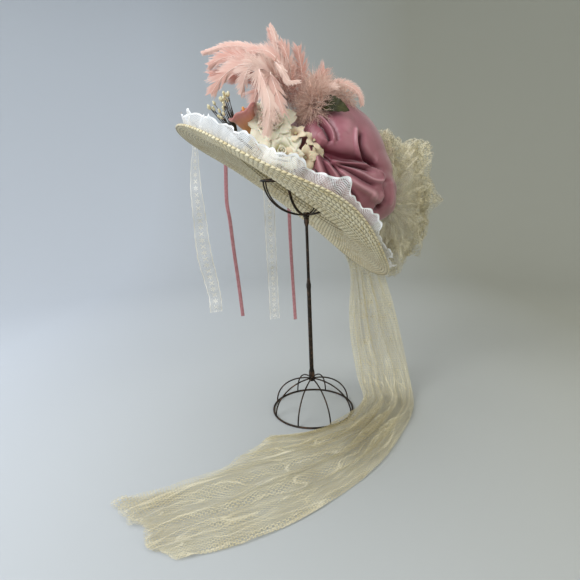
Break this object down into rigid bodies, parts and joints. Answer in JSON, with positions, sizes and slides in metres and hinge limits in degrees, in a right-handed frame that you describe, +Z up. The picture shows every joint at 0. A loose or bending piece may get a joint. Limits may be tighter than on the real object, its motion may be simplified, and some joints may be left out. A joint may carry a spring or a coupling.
{
  "type": "wide-brim hat on a wire hat stand",
  "caption": "Wide-brim straw hat tipped on a plain wire stand, with a gathered satin puff, net train, lace edging, cloth flowers, feathers and hanging streamers.",
  "frame": {"origin": "middle of the whole outline on the floor that the stand and the train rest on", "axes": "+Z up along the stand's rod, -Y towards the viewer of the picture, +X to the viewer's right, where the hat slopes down"},
  "size_m": [0.4806, 0.4699, 0.5567],
  "materials": {
    "straw": "braided straw",
    "white_lace": "machine lace",
    "mauve_satin": "satin",
    "cream_net": "net",
    "ivory_petal": "matte cloth",
    "pink_petal": "matte cloth",
    "green_leaf": "matte cloth",
    "pink_feather": "feather",
    "dark_iron": "dark rusty iron wire"
  },
  "bodies": {
    "root": {"crown": "straw", "brim": "straw", "brim_lace": "white_lace", "satin_puff": "mauve_satin", "tulle_pouf": "cream_net", "tulle_train": "cream_net", "rose_large": "ivory_petal", "rose_small": "ivory_petal", "calla": "pink_petal", "blossoms": "ivory_petal", "berry": "pink_petal", "stamens": "ivory_petal", "leaf_large": "green_leaf", "leaf_small": "green_leaf", "feather_plume": "pink_feather", "lace_tie_front": "white_lace", "lace_tie_back": "white_lace", "ribbon_front": "mauve_satin", "ribbon_back": "mauve_satin", "stand_base": "dark_iron", "stand_stem": "dark_iron", "stand_top": "dark_iron"}
  },
  "joints": []
}
